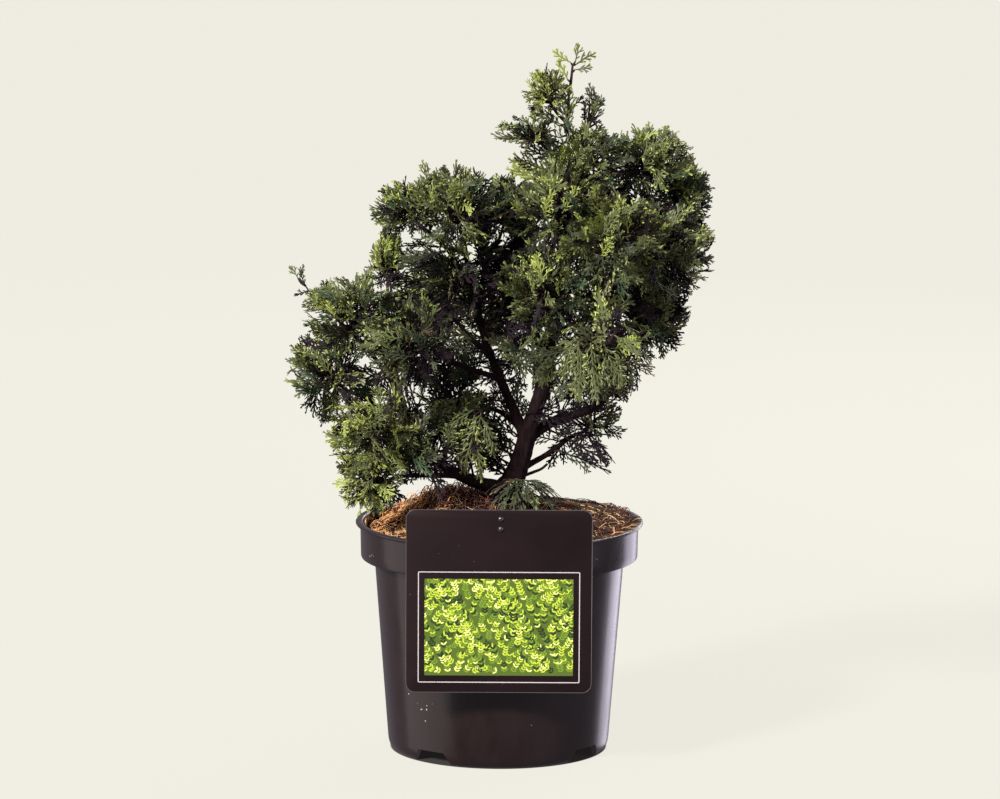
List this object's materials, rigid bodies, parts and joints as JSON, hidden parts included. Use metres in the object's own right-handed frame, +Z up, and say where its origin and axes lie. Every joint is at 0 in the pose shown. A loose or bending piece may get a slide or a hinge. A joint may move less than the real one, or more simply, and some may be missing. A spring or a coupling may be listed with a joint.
{
  "type": "dwarf hinoki cypress in a nursery pot",
  "caption": "Dwarf evergreen conifer with flat fan sprays on a leaning forked trunk, growing in a round nursery pot with a blank-titled picture label hung on the rim.",
  "frame": {"origin": "centre of the flat pad under the pot, on the surface that the pot stands on", "axes": "+Z up, -Y towards the label at the front, +X to the right as seen from the front"},
  "size_m": [0.28, 0.2025, 0.4689],
  "materials": {
    "pot_plastic": "semi-gloss moulded plastic, near black",
    "soil_fibre": "fibrous red-brown peat and coir, matt",
    "label_card": null,
    "bark": "dark red-brown bark in fine shreds, matt",
    "foliage": "scale-leaved flat sprays, deep green with yellow-green tips"
  },
  "bodies": {
    "root": {"pot": "pot_plastic", "soil": "soil_fibre", "label": "label_card", "trunk": "bark", "bough_left": "bark", "bough_left_out": "bark", "bough_left_low": "bark", "bough_left_foot": "bark", "bough_far_tip": "bark", "bough_left_spire": "bark", "stem_left": "bark", "bough_upper_far": "bark", "bough_upper_mid": "bark", "bough_left_inner": "bark", "bough_back_left": "bark", "bough_centre_left": "bark", "bough_right": "bark", "bough_right_low": "bark", "bough_right_mid": "bark", "bough_right_shoulder": "bark", "bough_right_edge": "bark", "bough_centre_right": "bark", "bough_right_hanging": "bark", "bough_centre_upper": "bark", "bough_centre_back": "bark", "bough_back_upper": "bark", "bough_back_right": "bark", "stub_right": "bark", "leader": "foliage", "sprays_tip_left": "foliage", "sprays_upper_fan": "foliage", "sprays_tip_right": "foliage", "sprays_top_centre": "foliage", "sprays_right_shoulder": "foliage", "sprays_right_edge": "foliage", "sprays_right_mid": "foliage", "sprays_centre_upper": "foliage", "sprays_centre_right": "foliage", "sprays_right_low": "foliage", "sprays_right_hanging": "foliage", "sprays_centre_mid": "foliage", "sprays_upper_left_far": "foliage", "sprays_upper_left": "foliage", "sprays_upper_mid": "foliage", "sprays_left_spire": "foliage", "sprays_far_left_tip": "foliage", "sprays_left_upper": "foliage", "sprays_left_mid": "foliage", "sprays_left_inner": "foliage", "sprays_left_low": "foliage", "sprays_left_foot": "foliage", "sprays_centre_left": "foliage", "sprays_centre_back": "foliage", "sprays_low_right": "foliage", "sprays_foot": "foliage", "sprays_back_upper": "foliage", "sprays_back_left": "foliage", "sprays_back_right": "foliage"}
  },
  "joints": []
}
